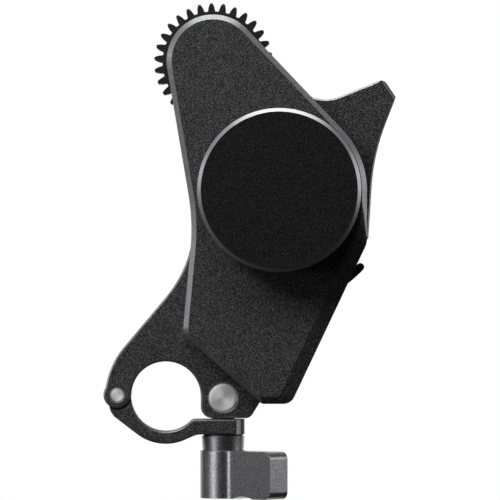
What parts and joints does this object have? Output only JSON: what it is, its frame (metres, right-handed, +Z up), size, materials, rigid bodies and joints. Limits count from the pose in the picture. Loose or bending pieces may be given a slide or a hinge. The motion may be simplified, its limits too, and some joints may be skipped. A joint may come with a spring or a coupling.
{
  "type": "follow focus unit",
  "caption": "Slim bevelled gear housing on a frame with a hinged rod clamp, a focus knob in front and a toothed lens drive gear behind its top end.",
  "frame": {"origin": "on the axis of the 15 mm rod bore, halfway through the clamp", "axes": "+Y along the rod away from the knob, +Z up along the housing, +X towards the frame's horn"},
  "size_m": [0.0632, 0.0356, 0.1071],
  "materials": {
    "black_anodised": "bead-blasted and black anodised, with bright-cut bevels",
    "black_knob": "turned and black anodised",
    "satin_black": "satin black",
    "grip_rubber": "matte",
    "black_gear_plastic": "matte",
    "bright_steel": "turned",
    "black_steel": "black oxide",
    "spring_steel": "plain",
    "bronze": "plain",
    "white_nylon": "matte",
    "felt": "felt",
    "friction_fibre": "matte"
  },
  "bodies": {
    "frame": {"rear_frame": "black_anodised", "front_housing": "black_anodised", "gearbox_cover": "black_anodised", "cover_screws": "black_steel", "frame_screws": "black_steel", "dowel_pins": "bright_steel", "knob_front_bush": "bronze", "knob_rear_bush": "bronze", "drive_front_bush": "bronze", "drive_rear_bush": "bronze", "knob_felt_washer": "felt", "idler_axle": "bright_steel", "idler_washers": "white_nylon", "friction_washer": "friction_fibre", "lever_stop_pins": "bright_steel", "hinge_pin": "bright_steel"},
    "knob": {"knob_wheel": "black_knob", "knob_grip_ring": "grip_rubber", "knob_face_cap": "black_knob", "knob_screw": "black_steel", "knob_shaft": "bright_steel", "knob_gear": "bright_steel", "knob_gear_pin": "bright_steel", "brake_disc": "bright_steel", "shaft_clip": "spring_steel"},
    "idler": {"idler_gear": "bronze", "idler_bush": "bronze"},
    "drive": {"output_pinion": "bright_steel", "pinion_pin": "bright_steel", "drive_shaft": "bright_steel", "drive_gear": "black_gear_plastic", "drive_gear_screw": "black_steel", "drive_gear_washer": "bright_steel"},
    "lever": {"damping_lever": "black_anodised", "wave_spring": "spring_steel"},
    "bolt": {"trunnion_pin": "bright_steel", "clamp_stud": "black_steel", "stud_stop_screw": "black_steel"},
    "collar": {"clamp_washer": "black_steel", "clamp_spacer": "satin_black"},
    "nut": {"thumb_nut": "satin_black"},
    "jaw": {"clamp_jaw": "black_anodised"}
  },
  "joints": [
    {"name": "knob_spin", "type": "hinge", "parent": "frame", "child": "knob", "pos_m": [0.02442, 0, 0.04439], "axis": [0, 1, 0], "continuous": true},
    {"name": "idler_spin", "type": "hinge", "parent": "frame", "child": "idler", "pos_m": [0.01644, 0, 0.06008], "axis": [0, 1, 0], "continuous": true},
    {"name": "drive_spin", "type": "hinge", "parent": "frame", "child": "drive", "pos_m": [0.01028, 0, 0.0722], "axis": [0, 1, 0], "continuous": true},
    {"name": "lever_turn", "type": "hinge", "parent": "frame", "child": "lever", "pos_m": [0.02442, 0, 0.04439], "axis": [0, -1, 0], "range_deg": [0, 45]},
    {"name": "stud_swing", "type": "hinge", "parent": "frame", "child": "bolt", "pos_m": [0.01237, 0, -0.00032], "axis": [0, 1, 0], "range_deg": [0, 10.05]},
    {"name": "nut_travel", "type": "slide", "parent": "bolt", "child": "collar", "axis": [0, 0, -1], "range_m": [0, 0.00402]},
    {"name": "nut_turn", "type": "hinge", "parent": "collar", "child": "nut", "pos_m": [0.01237, 0, -0.017], "axis": [0, 0, -1], "range_deg": [0, 1800]},
    {"name": "jaw_open", "type": "hinge", "parent": "frame", "child": "jaw", "pos_m": [-0.01054, 0, 0.00037], "axis": [0, 1, 0], "range_deg": [0, 10.05]}
  ],
  "couplings": [
    {"joint": "idler_spin", "follows": "knob_spin", "ratio": -1.4444},
    {"joint": "drive_spin", "follows": "knob_spin", "ratio": 1.625},
    {"joint": "nut_travel", "follows": "nut_turn", "m_per_rad": 0.00012732},
    {"joint": "stud_swing", "follows": "nut_turn", "ratio": 0.0055576},
    {"joint": "jaw_open", "follows": "nut_turn", "ratio": 0.0055576}
  ]
}
